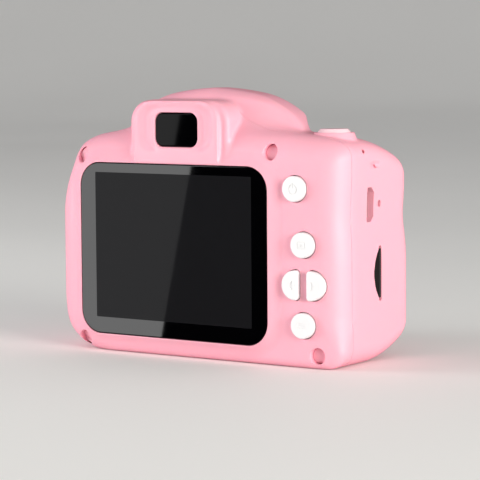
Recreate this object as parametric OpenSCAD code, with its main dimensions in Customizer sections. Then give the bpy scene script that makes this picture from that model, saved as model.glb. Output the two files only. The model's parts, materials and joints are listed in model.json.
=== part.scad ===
// Toy digital camera for children: two-part plastic case, rear screen, viewfinder hump,
// press buttons and the electronics inside. Millimetres, +Z up, the screen faces -Y and
// the lens looks along +Y. The origin is the middle of the base of the bounding box.

/* [Case] */
// Width of the case
body_w = 80; // [78:0.5:84]
// Height of the shoulders where they meet the hump
shoulder_h = 52.6; // [51.8:0.1:54]
// Height of the hump above the base
hump_h = 61.6; // [60.5:0.1:63]
// Depth from the button panel to the flat front wall
body_d = 27.3; // [27:0.1:29]
// How far the grip stands in front of the front wall
grip_d = 4.5; // [3:0.1:6]
// Wall thickness of both shells
wall = 1.8; // [1.6:0.05:2]
// Distance from the screen face to the seam between the shells
seam_y = 6.5; // [6.3:0.1:7]

/* [Screen] */
// Width of the screen window
glass_w = 52.1; // [50:0.1:53]
// Height of the screen window
glass_h = 40; // [38:0.1:41]
// Thickness of the screen window
glass_t = 1; // [0.8:0.05:1]
// Corner radius of the screen window
glass_r = 5.5; // [4:0.1:7]
// Width of the picture area
picture_w = 43.6; // [42:0.1:44]
// Height of the picture area
picture_h = 33.9; // [32:0.1:34.4]

/* [Buttons] */
// Diameter of the round rear buttons
button_d = 5.7; // [5.4:0.1:6]
// Gap all round between a button and its hole
button_gap = 0.18; // [0.12:0.01:0.25]
// Travel of a rear button
button_travel = 0.5; // [0.3:0.05:0.5]
// Diameter of the shutter button
shutter_d = 7.4; // [7:0.1:8.2]
// Travel of the shutter button
shutter_travel = 1; // [0.6:0.05:1]

/* [Lens] */
// Outer radius of the lens barrel where it meets the case
barrel_r = 21.5; // [20:0.1:22]
// Distance from the screen face to the front of the trim ring
lens_front = 44.5; // [43.5:0.1:46]

/* [Hidden] */
$fn = 64;

half_w = body_w / 2;
screen_y = -(lens_front - 0.5) / 2;   // the viewfinder frame is the rearmost face
panel_y = 1.2;                        // button panel, behind the screen face
front_y = panel_y + body_d;
grip_y = front_y + grip_d;
glass_x = -4.3;
glass_z = 24.35;
lens_x = 0;                           // the lens, flash and hump are over the middle
lens_z = 25;
finder_x = -2.75;                     // the viewfinder stands a little to the left
inner_x = half_w - wall;

// Rear buttons: centres on the panel as [x, z]
power_at = [28.4, 39.7];
mode_at = [30.5, 27.4];
left_at = [28.6, 18.5];
right_at = [32.55, 18.5];
menu_at = [30.5, 9.6];
rear_buttons = [[power_at, 0], [mode_at, 0], [left_at, 1], [right_at, -1], [menu_at, 0]];
button_face = 0.2;
flat_cut = 0.8;                       // centre of a D button to its flat side
half_button_r = 3.3;
skirt = 0.6;                          // how far a button's hidden edge is wider than its face
key_post_at = [[25.9, 13], [26.4, 33.4]];

// Shutter button: centre as [x, y] and its heights
shutter_at = [31.95, 12];
shutter_top = 52.6;
shutter_roof = 48.2;                  // underside of the case round the button
shutter_board_z = 41.9;

// Case screws: wells in the four rear corners as [x, z], each closed by a plug sunk below the case
screw_at = [[-31.3, 45.9], [-30.6, 2.7], [21.8, 47.6], [33.9, 3]];
plug_sunk = 1.2;
well_r = 1.8;
seat_y = 5.2;
screw_head_h = 1.1;

// Layers behind the screen, as distances from the screen face
pocket_y = glass_t + 0.15;
inside_y = panel_y + wall;
gasket_y = inside_y + 0.05;
lcd_y = gasket_y + 0.35;
light_y = lcd_y + 1.15;
light_end = light_y + 1.5;
pad_end = light_end + 0.45;
battery_end = pad_end + 4.8;
key_y = 6.2;                          // rear face of the key board
board_y = 16;                         // rear face of the main board
board_t = 1;
picture_x = glass_x + 0.1;
picture_z = glass_z + 0.8;

// ---- helpers -------------------------------------------------------------------

function unit(v) = v / norm(v);
function xy(p) = [p[0], p[1]];
function at(list, i) = list[(i + len(list)) % len(list)];

// Moves an anticlockwise outline of [x, y, radius] corners inwards by t
function shrink(o, t) = [for (i = [0 : len(o) - 1])
    let (p = xy(o[i]), a = xy(at(o, i - 1)), b = xy(at(o, i + 1)),
         d1 = unit(p - a), d2 = unit(b - p),
         n1 = [-d1[1], d1[0]], n2 = [-d2[1], d2[0]],
         q = p + t * (n1 + n2) / (1 + n1 * n2),
         turn = d1[0] * d2[1] - d1[1] * d2[0],
         r = turn > 0 ? max(o[i][2] - t, 0.4) : o[i][2] + t)
    [q[0], q[1], r]];

// The arc that rounds corner p between a and b
function corner(a, p, b, r, n) =
    let (d1 = unit(a - p), d2 = unit(b - p), half = acos(d1 * d2) / 2,
         c = p + unit(d1 + d2) * r / sin(half),
         s = p + d1 * r / tan(half) - c, e = p + d2 * r / tan(half) - c,
         a0 = atan2(s[1], s[0]), turn = atan2(e[1], e[0]) - a0,
         sweep = turn > 180 ? turn - 360 : turn < -180 ? turn + 360 : turn)
    [for (k = [0 : n]) c + r * [cos(a0 + sweep * k / n), sin(a0 + sweep * k / n)]];

function rounded(o, n = 6) = [for (i = [0 : len(o) - 1])
    each corner(xy(at(o, i - 1)), xy(o[i]), xy(at(o, i + 1)), o[i][2], n)];

// Outline in X and Z, extruded along Y from y0 to y1
module along_y(y0, y1) translate([0, y1, 0]) rotate([90, 0, 0]) linear_extrude(y1 - y0) children();
// Outline in Y and Z, extruded along X from x0 to x1
module along_x(x0, x1) translate([x0, 0, 0]) rotate([90, 0, 90]) linear_extrude(x1 - x0) children();
module along_z(z0, z1) translate([0, 0, z0]) linear_extrude(z1 - z0) children();

module from_screen() translate([0, screen_y, 0]) children();
module block(x0, x1, y0, y1, z0, z1) translate([x0, y0, z0]) cube([x1 - x0, y1 - y0, z1 - z0]);
module rod_y(x, z, y0, y1, r) translate([x, y1, z]) rotate([90, 0, 0]) cylinder(r = r, h = y1 - y0);
module rod_x(y, z, x0, x1, r) translate([x0, y, z]) rotate([0, 90, 0]) cylinder(r = r, h = x1 - x0);
module round_rect(w, h, r) {
    square([w - 2 * r, h], center = true);
    square([w, h - 2 * r], center = true);
    for (sx = [-1, 1], sz = [-1, 1]) translate([sx * (w / 2 - r), sz * (h / 2 - r)]) circle(r);
}

// Round rod from point a to point b
module rod(a, b, r) {
    d = b - a;
    translate(a) rotate([0, acos(d[2] / norm(d)), atan2(d[1], d[0])]) cylinder(r = r, h = norm(d), $fn = 24);
}

// Insulated wire along a list of points
module wire(points, r) {
    for (i = [0 : len(points) - 2]) rod(points[i], points[i + 1], r);
    for (i = [1 : len(points) - 2]) translate(points[i]) sphere(r, $fn = 24);
}

// ---- outer form ----------------------------------------------------------------

module case_block(t) {
    front = [[-half_w, 0, 13.5], [half_w, 0, 5], [half_w, 50, 6], [24, shoulder_h - 0.2, 4],
             [-25, shoulder_h - 0.5, 4], [-35.4, 49.7, 4], [-half_w, 36.5, 18]];
    plan = [[-half_w, panel_y, 7.5], [half_w, panel_y, 5.8], [half_w, front_y, 6], [-half_w, front_y, 8]];
    side = [[panel_y, 0, 2.4], [front_y, 0, 9], [front_y, shoulder_h - 2, 9], [panel_y + 11, shoulder_h, 20],
            [panel_y, shoulder_h, 7]];
    intersection() {
        along_y(panel_y - 1, front_y + 1) polygon(rounded(shrink(front, t)));
        along_z(-1, hump_h) polygon(rounded(shrink(plan, t)));
        along_x(-half_w - 1, half_w + 1) polygon(rounded(shrink(side, t)));
    }
}

module grip_block(t) {
    front = [[23.5, 1, 6], [half_w, 0, 5], [half_w, 49.6, 7], [23.5, 49.6, 6]];
    plan = [[22.8, 12, 2], [half_w, 12, 2], [half_w, grip_y, 5], [22.8, grip_y, 5]];
    side = [[12, 0, 2], [grip_y, 0, 11], [grip_y, 49.6, 11.5], [12, 49.6, 2]];
    intersection() {
        along_y(11, grip_y + 1) polygon(rounded(shrink(front, t)));
        along_z(-1, hump_h) polygon(rounded(shrink(plan, t)));
        along_x(20, half_w + 1) polygon(rounded(shrink(side, t)));
    }
}

module hump_block(t) {
    front = [[lens_x - 25, 40, 1], [lens_x + 25, 40, 1], [lens_x + 24.6, 53, 2], [lens_x + 17.6, 59.2, 6],
             [lens_x + 5, hump_h, 6], [lens_x - 5, hump_h, 6], [lens_x - 17.6, 59.2, 6],
             [lens_x - 24.6, 53, 2]];
    plan = [[lens_x - 12, 2.8, 2], [lens_x + 12, 2.8, 2], [lens_x + 25, 10, 2], [lens_x + 24.6, 17, 6],
            [lens_x + 19, front_y - 0.2, 6], [lens_x - 19, front_y - 0.2, 6], [lens_x - 24.6, 17, 6],
            [lens_x - 25, 10, 2]];
    side = [[2.8, 40, 1], [front_y - 0.2, 40, 1], [front_y - 0.2, 49, 3], [23.5, hump_h, 5],
            [9.2, hump_h, 4], [2.8, 50.5, 3]];
    intersection() {
        along_y(2, front_y) polygon(rounded(shrink(front, t)));
        along_z(39, hump_h) polygon(rounded(shrink(plan, t)));
        along_x(lens_x - 28, lens_x + 28) polygon(rounded(shrink(side, t)));
    }
}

// Frame round the viewfinder window
finder_w = 23.6;
finder_flare = 1.5;                   // how far the frame is wider behind its face
finder_top = 59.1;
finder_z = 52.2;
module finder_block(t, y0) for (s = [0, 1]) {
    w = finder_w / 2 + s * finder_flare;
    o = [[finder_x - w, 42, 1], [finder_x + w, 42, 1],
         [finder_x + w, finder_top, 5], [finder_x - w, finder_top, 5]];
    along_y(y0 + 1.4 * s, 9) polygon(rounded(shrink(o, t)));
}

module outer_form() {
    case_block(0);
    grip_block(0);
    hump_block(0);
    finder_block(0, -0.5);
}

module inner_form() {
    case_block(wall);
    grip_block(wall);
    hump_block(wall);
    finder_block(wall, inside_y);
}

module behind_seam() block(-half_w - 2, half_w + 2, -2, seam_y, -1, hump_h + 1);
module before_seam() block(-half_w - 2, half_w + 2, seam_y, grip_y + 2, -1, hump_h + 1);

// Outline of a D button, flat side towards +X when side is 1
module half_disc(r, cut, side) intersection() {
    circle(r);
    translate([side > 0 ? -r - 1 : -cut, -r - 1]) square([cut + r + 1, 2 * r + 2]);
}

module button_outline(kind, grow) {
    if (kind == 0) circle(button_d / 2 + grow);
    else half_disc(half_button_r + grow, flat_cut + grow, kind);
}

module in_panel(p) translate([p[0], 0, p[1]]) children();

// ---- shells --------------------------------------------------------------------

module screen_frame() along_y(-0.2, panel_y + 1)
    translate([glass_x, glass_z]) round_rect(glass_w + 3.4, glass_h + 3.4, 7);

module rear_shell() color("pink") from_screen() difference() {
    union() {
        difference() {
            union() {
                intersection() { outer_form(); behind_seam(); }
                screen_frame();
            }
            inner_form();
        }
        intersection() {
            union() {
                for (p = screw_at) rod_y(p[0], p[1], panel_y, seam_y, 3.4);
                for (p = key_post_at) rod_y(p[0], p[1], inside_y - 0.5, key_y, 1.5);
            }
            case_block(0.3);
        }
    }
    // screen pocket and the opening behind it
    along_y(-1, pocket_y)
        translate([glass_x, glass_z]) round_rect(glass_w + 0.2, glass_h + 0.2, glass_r + 0.1);
    along_y(0, inside_y + 1)
        translate([picture_x, picture_z]) round_rect(picture_w + 1.4, picture_h + 1.4, 0.8);
    // eyepiece recess and window seat
    along_y(-1, 0.1) translate([finder_x, finder_z + 0.6]) round_rect(finder_w - 4.6, 11.6, 3.6);
    along_y(-1, 1.9) translate([finder_x, finder_z]) round_rect(11.9, 7.85, 2.1);
    along_y(-1, inside_y + 1) translate([finder_x, finder_z]) round_rect(9.6, 5.8, 1.6);
    // button holes and the room for their skirts
    for (b = rear_buttons) {
        along_y(panel_y - 1, inside_y + 1) translate(b[0]) button_outline(b[1], button_gap);
        along_y(inside_y, key_y) translate(b[0]) button_outline(b[1], skirt + 0.2);
    }
    // screw wells and clearance holes
    for (p = screw_at) {
        rod_y(p[0], p[1], -2, seat_y, well_r);
        rod_y(p[0], p[1], seat_y - 1, seam_y + 1, 1.15);
    }
    // pilot holes in the key board posts
    for (p = key_post_at) rod_y(p[0], p[1], inside_y, key_y + 1, 0.6);
}

usb_z = 35.8;
usb_y = 14.6;
usb_half = 3.85;                      // half the height of the socket's opening
card_z = 20.2;
card_y = 18.4;
notch_r = 8.1;                        // finger notch beside the card, and how far off its centre is
notch_out = 5.45;
speaker_at = [-14, 13.2];
speaker_r = 7;
flash_z = 55.2;
flash_r = 3.2;
mic_at = [-27, 41];
reset_at = [18.6, 35.8];
board_post_at = [[-29.5, 13], [-29.5, 37.5], [30.2, 30], [25.5, 8.2]];
camera_post_at = [[lens_x - 8, lens_z - 8], [lens_x + 8, lens_z + 8]];

module usb_outline() polygon([
    [usb_y - 1.45, usb_z - usb_half], [usb_y + 0.4, usb_z - usb_half],
    [usb_y + 1.4, usb_z - usb_half + 1.1], [usb_y + 1.4, usb_z + usb_half - 1.1],
    [usb_y + 0.4, usb_z + usb_half], [usb_y - 1.45, usb_z + usb_half]]);

module shutter_pad() translate([shutter_at[0], shutter_at[1], 0]) rotate_extrude()
    polygon([[0, 45.5], [5.6, 45.5], [5, 50], [4.5, shutter_top - 0.8], [0, shutter_top - 0.8]]);

// A ring round the lens axis from a half profile of [radius, distance from the screen face]
module lens_turned(x = lens_x, z = lens_z) translate([x, 0, z]) rotate([-90, 0, 0]) rotate_extrude($fn = 96)
    children();

collar_y = front_y + 2.1;
module lens_collar() lens_turned()
    polygon([[19.8, 20], [23.4, 20], [23.4, collar_y - 1.2], [22.6, collar_y], [19.8, collar_y]]);

// Strap anchor in the upper corner: two small mouths joined inside by a passage
module strap_passage() {
    strap = [[half_w + 1, 16.6, 44.2], [half_w - 2.5, 16.6, 44.2],
             [half_w - 2.5, 12.8, 46.6], [half_w + 0.6, 10.9, 48.3]];
    wire(strap, 0.55);
}

module front_shell() color("pink") from_screen() difference() {
    union() {
        difference() {
            union() {
                intersection() { outer_form(); before_seam(); }
                intersection() { shutter_pad(); before_seam(); }
                lens_collar();
            }
            difference() {
                inner_form();
                // material round the shutter hole and the strap anchor
                translate([shutter_at[0], shutter_at[1], shutter_roof]) cylinder(r = 5.6, h = 6);
                block(half_w - 3.8, half_w, 8, 18.6, 43.1, 52);
            }
        }
        intersection() {
            union() {
                for (p = screw_at) rod_y(p[0], p[1], seam_y, 16.5, 2.9);
                for (p = board_post_at)
                    rod_y(p[0], p[1], board_y + board_t, (p[0] > 20 ? grip_y : front_y) - 1, 2.1);
                for (p = camera_post_at) rod_y(p[0], p[1], front_y - 4.3, front_y - 1, 1.7);
                // ring that holds the speaker on the floor of the case
                translate([speaker_at[0], speaker_at[1], wall - 0.4]) difference() {
                    cylinder(r = speaker_r + 1, h = 2.6);
                    cylinder(r = speaker_r + 0.15, h = 3);
                    translate([-9, -9, -1]) cube([18, 9 - speaker_r + 1.2, 5]);
                }
                // ledges for the shutter board
                for (x = [26.4, 38])
                    block(x - 0.8, x + 0.8, 8.2, 15.8, shutter_board_z - 1.5, shutter_board_z);
                block(25.6, 38.8, 14.3, 15.8, shutter_board_z - 1.5, shutter_board_z);
            }
            union() {
                case_block(0.3);
                grip_block(0.3);
            }
        }
        // seat of the flash window
        intersection() {
            rod_y(lens_x, flash_z, 20.4, front_y, flash_r + 1.3);
            hump_block(0.2);
        }
    }
    // shutter hole and the well its skirt moves in
    translate([shutter_at[0], shutter_at[1], 46]) cylinder(r = shutter_d / 2 + button_gap, h = 8);
    translate([shutter_at[0], shutter_at[1], shutter_board_z + 1])
        cylinder(r = 4.95, h = shutter_roof - shutter_board_z - 1);
    // charging socket, card slot with its finger notch, and reset hole
    along_x(inner_x - 1, half_w + 1) usb_outline();
    along_x(inner_x - 1, half_w + 1) translate([card_y, card_z]) round_rect(1.2, 12.6, 0.59);
    intersection() {
        rod_x(card_y + notch_out, card_z, inner_x - 1, half_w + 1, notch_r);
        block(inner_x - 1, half_w + 1, 0, card_y, 0, hump_h);
    }
    along_x(inner_x - 1, half_w + 1) translate([reset_at[0], reset_at[1]]) round_rect(1.1, 1.5, 0.54);
    strap_passage();
    // speaker grille in the base
    translate([speaker_at[0], speaker_at[1], -1]) {
        cylinder(r = 0.6, h = 4);
        for (a = [0 : 60 : 300]) rotate(a) translate([3.2, 0, 0]) cylinder(r = 0.6, h = 4);
    }
    // lens, microphone and flash openings
    rod_y(lens_x, lens_z, front_y - 5, front_y + 3, 6.2);
    rod_y(mic_at[0], mic_at[1], front_y - 4, front_y + 1, 0.6);
    rod_y(lens_x, flash_z, 20, front_y + 1, flash_r);
    // pilot holes for the case, board and camera screws
    for (p = screw_at) rod_y(p[0], p[1], seam_y - 1, 15, 0.8);
    for (p = board_post_at) rod_y(p[0], p[1], board_y, board_y + 6.5, 0.75);
    for (p = camera_post_at) rod_y(p[0], p[1], front_y - 5, front_y - 1.2, 0.55);
}

// ---- windows, buttons and screws on the outside --------------------------------

module screen_window() color("black") from_screen()
    along_y(0, glass_t) translate([glass_x, glass_z]) round_rect(glass_w, glass_h, glass_r);

module screen_adhesive() color("dimgray") from_screen() along_y(glass_t, pocket_y) difference() {
    translate([glass_x, glass_z]) round_rect(glass_w - 0.6, glass_h - 0.6, glass_r - 0.3);
    translate([picture_x, picture_z]) round_rect(picture_w + 2, picture_h + 2, 1);
}

module viewfinder_window() color("black") from_screen()
    along_y(0.25, 1.9) translate([finder_x, finder_z]) round_rect(11.7, 7.65, 2);

module rear_button(b) color("white") from_screen() {
    along_y(button_face, inside_y + 0.1) translate(b[0]) button_outline(b[1], 0);
    along_y(inside_y + 0.1, inside_y + 0.8) translate(b[0]) button_outline(b[1], skirt);
    rod_y(b[0][0], b[0][1], inside_y + 0.8, switch_face - button_travel - 0.05, 1.3);
}

switch_face = key_y - 1.4;
module power_button() rear_button(rear_buttons[0]);
module mode_button() rear_button(rear_buttons[1]);
module left_button() rear_button(rear_buttons[2]);
module right_button() rear_button(rear_buttons[3]);
module menu_button() rear_button(rear_buttons[4]);

shutter_switch_top = shutter_board_z + 3.5;
module shutter_button() color("mistyrose") from_screen() translate([shutter_at[0], shutter_at[1], 0]) {
    foot = shutter_switch_top + shutter_travel + 0.05;
    rotate_extrude() polygon([[0, foot], [1.5, foot], [1.5, shutter_roof - 1], [4.65, shutter_roof - 1],
                              [4.65, shutter_roof - 0.1], [shutter_d / 2, shutter_roof - 0.1],
                              [shutter_d / 2, shutter_top - 0.7], [shutter_d / 2 - 0.9, shutter_top],
                              [0, shutter_top]]);
}

// Pan-head screw along +Y with a cross recess, its head ending at seat
module screw(x, z, seat, head_r, head_h, r, length) difference() {
    union() {
        rod_y(x, z, seat - head_h, seat, head_r);
        rod_y(x, z, seat, seat + length, r);
    }
    for (a = [0, 90]) translate([x, seat - head_h, z]) rotate([0, a, 0])
        cube([head_r * 1.1, head_h, head_r * 0.3], center = true);
}

module case_screws() color("dimgray") from_screen()
    for (p = screw_at) screw(p[0], p[1], seat_y, 1.5, screw_head_h, 0.75, 9);
module screw_plugs() color("pink") from_screen()
    intersection() {
        for (p = screw_at) rod_y(p[0], p[1], panel_y, seat_y - screw_head_h - 0.05, well_r - 0.03);
        case_block(plug_sunk);
    }
module board_screws() color("silver") from_screen()
    for (p = board_post_at) screw(p[0], p[1], board_y, 1.7, 1.3, 0.7, 6);
module camera_screws() color("silver") from_screen()
    for (p = camera_post_at) screw(p[0], p[1], camera_y, 1.2, 0.9, 0.5, 3.5);
module key_board_screws() color("silver") from_screen()
    for (p = key_post_at)
        translate([p[0], key_y + 1, p[1]]) rotate([0, 0, 180]) screw(0, 0, 0, 1.2, 0.9, 0.55, 3.6);

// ---- lens ----------------------------------------------------------------------

ledge_y = lens_front - 5;
module lens_barrel() color("pink") from_screen() lens_turned()
    polygon([[18.2, front_y + 0.1], [19.7, front_y + 0.1],
             [19.7, collar_y + 0.05], [barrel_r + 0.9, collar_y + 0.05],
             [barrel_r + 0.7, collar_y + 1], [barrel_r - 0.3, lens_front - 1.1], [19.2, lens_front - 1.1],
             [19.2, ledge_y], [16.6, ledge_y], [16.6, ledge_y - 1.1], [18.2, ledge_y - 1.1]]);

module lens_window() color("black") from_screen() lens_turned()
    polygon([[0, ledge_y], [19, ledge_y], [19, ledge_y + 1.5], [0, ledge_y + 1.5]]);

module lens_trim_ring() color("whitesmoke") from_screen() lens_turned()
    polygon([[15.8, ledge_y + 1.5], [19, ledge_y + 1.5], [19, lens_front - 1.05], [20.9, lens_front - 1.05],
             [20.9, lens_front - 0.5], [20.4, lens_front], [17.6, lens_front]]);

// Camera board behind the front wall, its rear face at camera_y
camera_y = front_y - 5.3;
holder_y = front_y + 0.5;
module camera_module() color("darkgreen") from_screen() difference() {
    union() {
        block(lens_x - 10, lens_x + 10, camera_y, camera_y + 1, lens_z - 10, lens_z + 10);
        block(lens_x - 4.5, lens_x + 4.5, camera_y + 1, front_y - 1.9, lens_z - 4.5, lens_z + 4.5);
        rod_y(lens_x, lens_z, front_y - 1.9, holder_y, 4.4);
    }
    rod_y(lens_x, lens_z, camera_y + 2, holder_y + 1, 3.05);
    for (p = camera_post_at) rod_y(p[0], p[1], camera_y - 1, camera_y + 2, 0.8);
}

module camera_lens() color("black") from_screen() lens_turned()
    polygon([[1.6, front_y - 2], [3, front_y - 2],
             [3, holder_y + 0.1], [4.2, holder_y + 0.1], [4.2, ledge_y - 2],
             [3.6, ledge_y - 1.5], [3.1, ledge_y - 1.5], [1.6, ledge_y - 3.4]]);

module lens_element() color("slateblue") from_screen() intersection() {
    lens_turned() polygon([[0, ledge_y - 3.9], [1.5, ledge_y - 3.9],
                           [1.5, ledge_y - 3.3], [2.4, ledge_y - 2.2],
                           [2.4, ledge_y - 1.2], [0, ledge_y - 1.2]]);
    translate([lens_x, ledge_y - 5.4, lens_z]) sphere(4);
}

module flash_window() color("white") from_screen() rod_y(lens_x, flash_z, 22.6, 24.4, flash_r - 0.1);

// ---- electronics ---------------------------------------------------------------

lcd_w = picture_w + 3.4;
lcd_z0 = picture_z - picture_h / 2 - 3.4;
lcd_z1 = picture_z + picture_h / 2 + 1.9;

module lcd_frame_outline(grow) translate([picture_x - lcd_w / 2 - grow, lcd_z0 - grow])
    square([lcd_w + 2 * grow, lcd_z1 - lcd_z0 + 2 * grow]);

module lcd_gasket() color("dimgray") from_screen() along_y(gasket_y, lcd_y) difference() {
    lcd_frame_outline(-0.3);
    translate([picture_x, picture_z]) square([picture_w + 1, picture_h + 1], center = true);
}
module lcd_panel() color("darkslategray") from_screen() along_y(lcd_y, light_y) lcd_frame_outline(-0.6);
module lcd_backlight() color("whitesmoke") from_screen() union() {
    along_y(light_y, light_end) lcd_frame_outline(0);
    along_y(lcd_y, light_y) difference() { lcd_frame_outline(0); lcd_frame_outline(-0.5); }
}

// Flat cable that runs along the back of a part and then forward to its connector
lcd_flex_z = 7.4;
module lcd_flex() color("darkorange") from_screen() {
    block(-10, 6, light_end + 0.05, light_end + 0.2, 5.6, lcd_flex_z);
    block(-10, 6, light_end + 0.2, board_y - 1, lcd_flex_z - 0.15, lcd_flex_z);
}
module key_flex() color("darkorange") from_screen() block(28.2, 33.8, key_y + 2, board_y - 1, 12, 12.15);
module camera_flex() color("darkorange") from_screen() {
    block(lens_x - 3, lens_x + 3, camera_y - 0.2, camera_y - 0.05, 30, 37);
    block(lens_x - 3, lens_x + 3, board_y + board_t + 1, camera_y - 0.2, 36.85, 37);
}
module board_connectors() color("ivory") from_screen() {
    block(-10.6, 6.6, board_y - 1, board_y, 6.4, 8.6);
    for (y = [key_y + 1, board_y - 1]) block(27.8, 34.2, y, y + 1, 11, 13);
    block(lens_x - 3.6, lens_x + 3.6, board_y + board_t, board_y + board_t + 1, 36, 38);
}

module key_board() color("green") from_screen() difference() {
    block(24.4, 37.3, key_y, key_y + 1, 6.4, 43.4);
    for (p = key_post_at) rod_y(p[0], p[1], key_y - 1, key_y + 2, 0.8);
}
module key_switches() color("silver") from_screen() for (b = rear_buttons) {
    block(b[0][0] - 1.8, b[0][0] + 1.8, key_y - 1, key_y, b[0][1] - 1.8, b[0][1] + 1.8);
    rod_y(b[0][0], b[0][1], switch_face, key_y - 1, 0.9);
}

module main_board() color("green") from_screen() difference() {
    block(-33, 37.7, board_y, board_y + board_t, 6.1, 42.9);
    for (p = board_post_at) rod_y(p[0], p[1], board_y - 1, board_y + 2, 1);
}
chip_y = board_y + board_t;
module processor_chip() color("black") from_screen() block(-8, 2, chip_y, chip_y + 1, 14, 24);
module memory_chip() color("black") from_screen() block(7, 12, chip_y, chip_y + 0.9, 16, 22);
module crystal() color("silver") from_screen()
    along_y(chip_y, chip_y + 1.2) translate([9.5, 26]) round_rect(5, 2, 0.9);

module usb_socket() color("silver") from_screen() difference() {
    union() {
        block(inner_x - 5.3, inner_x - 0.1, usb_y - 1.25, usb_y + 1.3, usb_z - 3.75, usb_z + 3.75);
        block(inner_x - 4.8, inner_x - 0.8, usb_y + 1.3, board_y, usb_z - 3.2, usb_z + 3.2);
    }
    difference() {
        block(inner_x - 4.9, inner_x, usb_y - 0.9, usb_y + 0.95, usb_z - 3.4, usb_z + 3.4);
        block(inner_x - 5, inner_x - 0.9, usb_y + 0.1, usb_y + 0.6, usb_z - 2.4, usb_z + 2.4);
    }
}

module card_socket() color("silver") from_screen() difference() {
    block(24, inner_x - 0.1, chip_y, chip_y + 3, card_z - 6.8, card_z + 6.8);
    block(24.8, inner_x, card_y - 0.55, card_y + 0.55, card_z - 5.8, card_z + 5.8);
}

module memory_card() color("darkslategray") from_screen()
    block(24.85, half_w - 0.15, card_y - 0.2, card_y + 0.5, card_z - 5.5, card_z + 5.5);

module reset_switch() color("silver") from_screen() {
    block(inner_x - 3.6, inner_x - 0.5, chip_y, chip_y + 2, reset_at[1] - 1.7, reset_at[1] + 1.7);
    rod_x(reset_at[0], reset_at[1], inner_x - 0.5, inner_x - 0.1, 0.4);
}

mic_y = front_y - wall - 0.05;
module microphone() color("gray") from_screen() rod_y(mic_at[0], mic_at[1], mic_y - 2, mic_y, 2);
module microphone_leads() color("silver") from_screen()
    for (s = [-0.8, 0.8]) rod_y(mic_at[0] + s, mic_at[1], chip_y, mic_y - 2, 0.25);

module shutter_board() color("green") from_screen()
    block(26.2, 38, 8.4, 15.6, shutter_board_z, shutter_board_z + 1);
module shutter_switch() color("silver") from_screen()
translate([shutter_at[0], shutter_at[1], shutter_board_z + 1]) {
    translate([-3, -3, 0]) cube([6, 6, 1.8]);
    translate([0, 0, 1.8]) cylinder(r = 1.6, h = shutter_switch_top - shutter_board_z - 2.8);
}
module shutter_leads() color("gold") from_screen() for (x = [28.5, 30])
    wire([[x, 13, shutter_board_z], [x, 13, 39.8], [x, board_y, 39.8]], 0.35);

flash_y = 19.4;
module flash_board() color("green") from_screen()
    block(lens_x - 4.5, lens_x + 4.5, flash_y, flash_y + 1, flash_z - 3.6, flash_z + 3.6);
module flash_led() color("khaki") from_screen()
    block(lens_x - 1.5, lens_x + 1.5, flash_y + 1, flash_y + 2, flash_z - 1.5, flash_z + 1.5);
module flash_leads() color("gold") from_screen() for (s = [-1.2, 1.2])
    wire([[lens_x + s, flash_y, 53], [lens_x + s, 18, 53],
          [lens_x + s, 18, 41.5], [lens_x + s, chip_y, 41.5]], 0.35);

module battery_pad() color("dimgray") from_screen() block(-22, 4, light_end, pad_end, 14, 33);
battery_top = 36.5;
module battery() color("silver") from_screen()
along_z(10, battery_top) translate([-9, (pad_end + battery_end) / 2])
    round_rect(36, battery_end - pad_end, 1.6);
module battery_connector() color("ivory") from_screen() block(-24, -18, 13, board_y, 38, 41);
module battery_lead(x) wire([[x, 9, battery_top], [x, 9, 39.5], [x, 13, 39.5]], 0.45);
module battery_lead_red() color("red") from_screen() battery_lead(-22);
module battery_lead_black() color("black") from_screen() battery_lead(-20);

module speaker() color("dimgray") from_screen() translate([speaker_at[0], speaker_at[1], wall + 0.1]) {
    cylinder(r = speaker_r, h = 2.2);
    cylinder(r = speaker_r - 2.5, h = 3.6);
}
module speaker_leads() color("red") from_screen() for (s = [-1, 1])
    wire([[speaker_at[0] + s, 14.6, wall + 3.7], [speaker_at[0] + s, 14.6, 9.4],
          [speaker_at[0] + s, board_y, 9.4]], 0.35);

rear_shell();
front_shell();
case_screws();
screw_plugs();
screen_window();
screen_adhesive();
viewfinder_window();
power_button();
mode_button();
left_button();
right_button();
menu_button();
shutter_button();
lens_barrel();
lens_trim_ring();
lens_window();
flash_window();
lcd_gasket();
lcd_panel();
lcd_backlight();
lcd_flex();
key_board();
key_switches();
key_flex();
key_board_screws();
main_board();
board_connectors();
processor_chip();
memory_chip();
crystal();
usb_socket();
card_socket();
memory_card();
reset_switch();
microphone();
microphone_leads();
shutter_board();
shutter_switch();
shutter_leads();
flash_board();
flash_led();
flash_leads();
camera_module();
camera_lens();
lens_element();
camera_flex();
battery();
battery_pad();
battery_connector();
battery_lead_red();
battery_lead_black();
speaker();
speaker_leads();
board_screws();
camera_screws();
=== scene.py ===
"""Looks of a toy digital camera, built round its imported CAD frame.
Lengths are millimetres until a mesh is made; `depth` is the distance in front of the screen face."""
import json
import math

import bmesh
import bpy
import numpy as np
from mathutils import Matrix, Vector


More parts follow.
